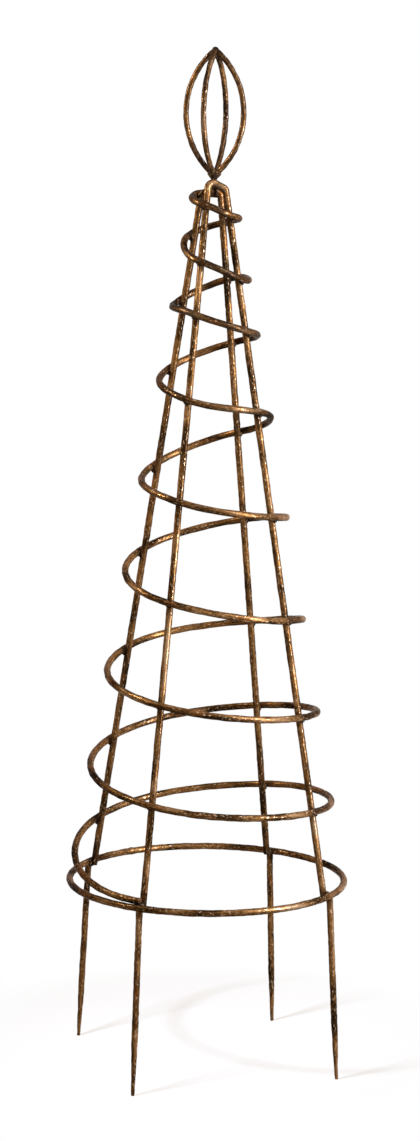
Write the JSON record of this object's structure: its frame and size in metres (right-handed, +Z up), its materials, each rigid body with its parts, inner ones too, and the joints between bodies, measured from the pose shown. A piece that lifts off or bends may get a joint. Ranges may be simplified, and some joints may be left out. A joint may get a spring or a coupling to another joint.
{
  "type": "garden obelisk",
  "caption": "Tall openwork garden obelisk of bent round rod: straight legs, a winding conical spiral, a base ring on pointed stakes and an open ribbed finial.",
  "frame": {"origin": "on the ground under the stake tips, in the middle of the base ring", "axes": "+Z up along the axis of the obelisk; the legs stand on the diagonals between X and Y, with the front hoop towards -Y"},
  "size_m": [0.4179, 0.418, 1.5],
  "materials": {
    "rod": "mottled antique bronze over steel rod, worn lighter on the lit sides",
    "weld": "dark antique bronze in the joints"
  },
  "bodies": {
    "root": {"front_hoop": "rod", "rear_hoop": "rod", "base_ring": "rod", "stake_rear_right": "rod", "stake_rear_left": "rod", "stake_front_left": "rod", "stake_front_right": "rod", "spiral_rod": "rod", "finial_cup": "weld", "finial_rib_1": "rod", "finial_rib_2": "rod", "finial_rib_3": "rod", "finial_rib_4": "rod", "spiral_welds": "weld", "ring_welds": "weld", "crown_welds": "weld"}
  },
  "joints": []
}
